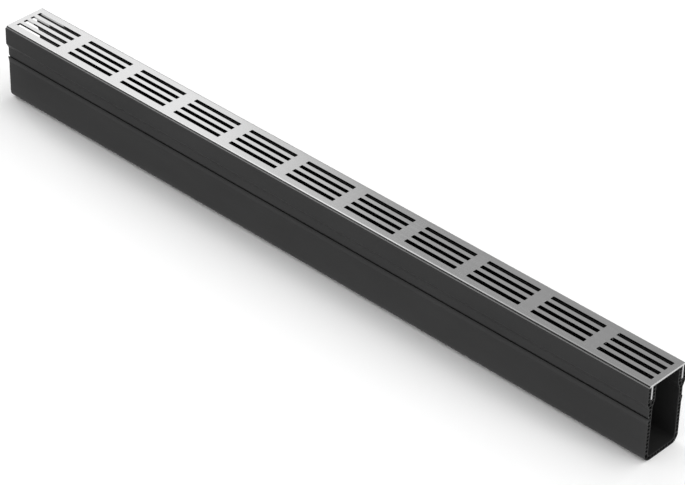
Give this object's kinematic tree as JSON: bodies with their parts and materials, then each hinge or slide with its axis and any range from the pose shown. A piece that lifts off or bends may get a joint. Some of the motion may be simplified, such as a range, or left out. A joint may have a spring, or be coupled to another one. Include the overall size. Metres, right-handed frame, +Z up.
{
  "type": "linear shower drain",
  "caption": "Straight shower drain channel with hollow plastic walls and a slotted aluminium grate whose side legs drop into seats along the channel's rim.",
  "frame": {"origin": "middle of the flat base, half way along the channel and half way across it", "axes": "+X along the channel, +Y across it, +Z up, out of the slotted face"},
  "size_m": [1, 0.063, 0.1035],
  "materials": {
    "black_pvc": "smooth extruded plastic with a slight sheen, black",
    "satin_aluminium": "satin, extruded"
  },
  "bodies": {
    "root": {"channel_body": "black_pvc", "grate": "satin_aluminium"}
  },
  "joints": []
}
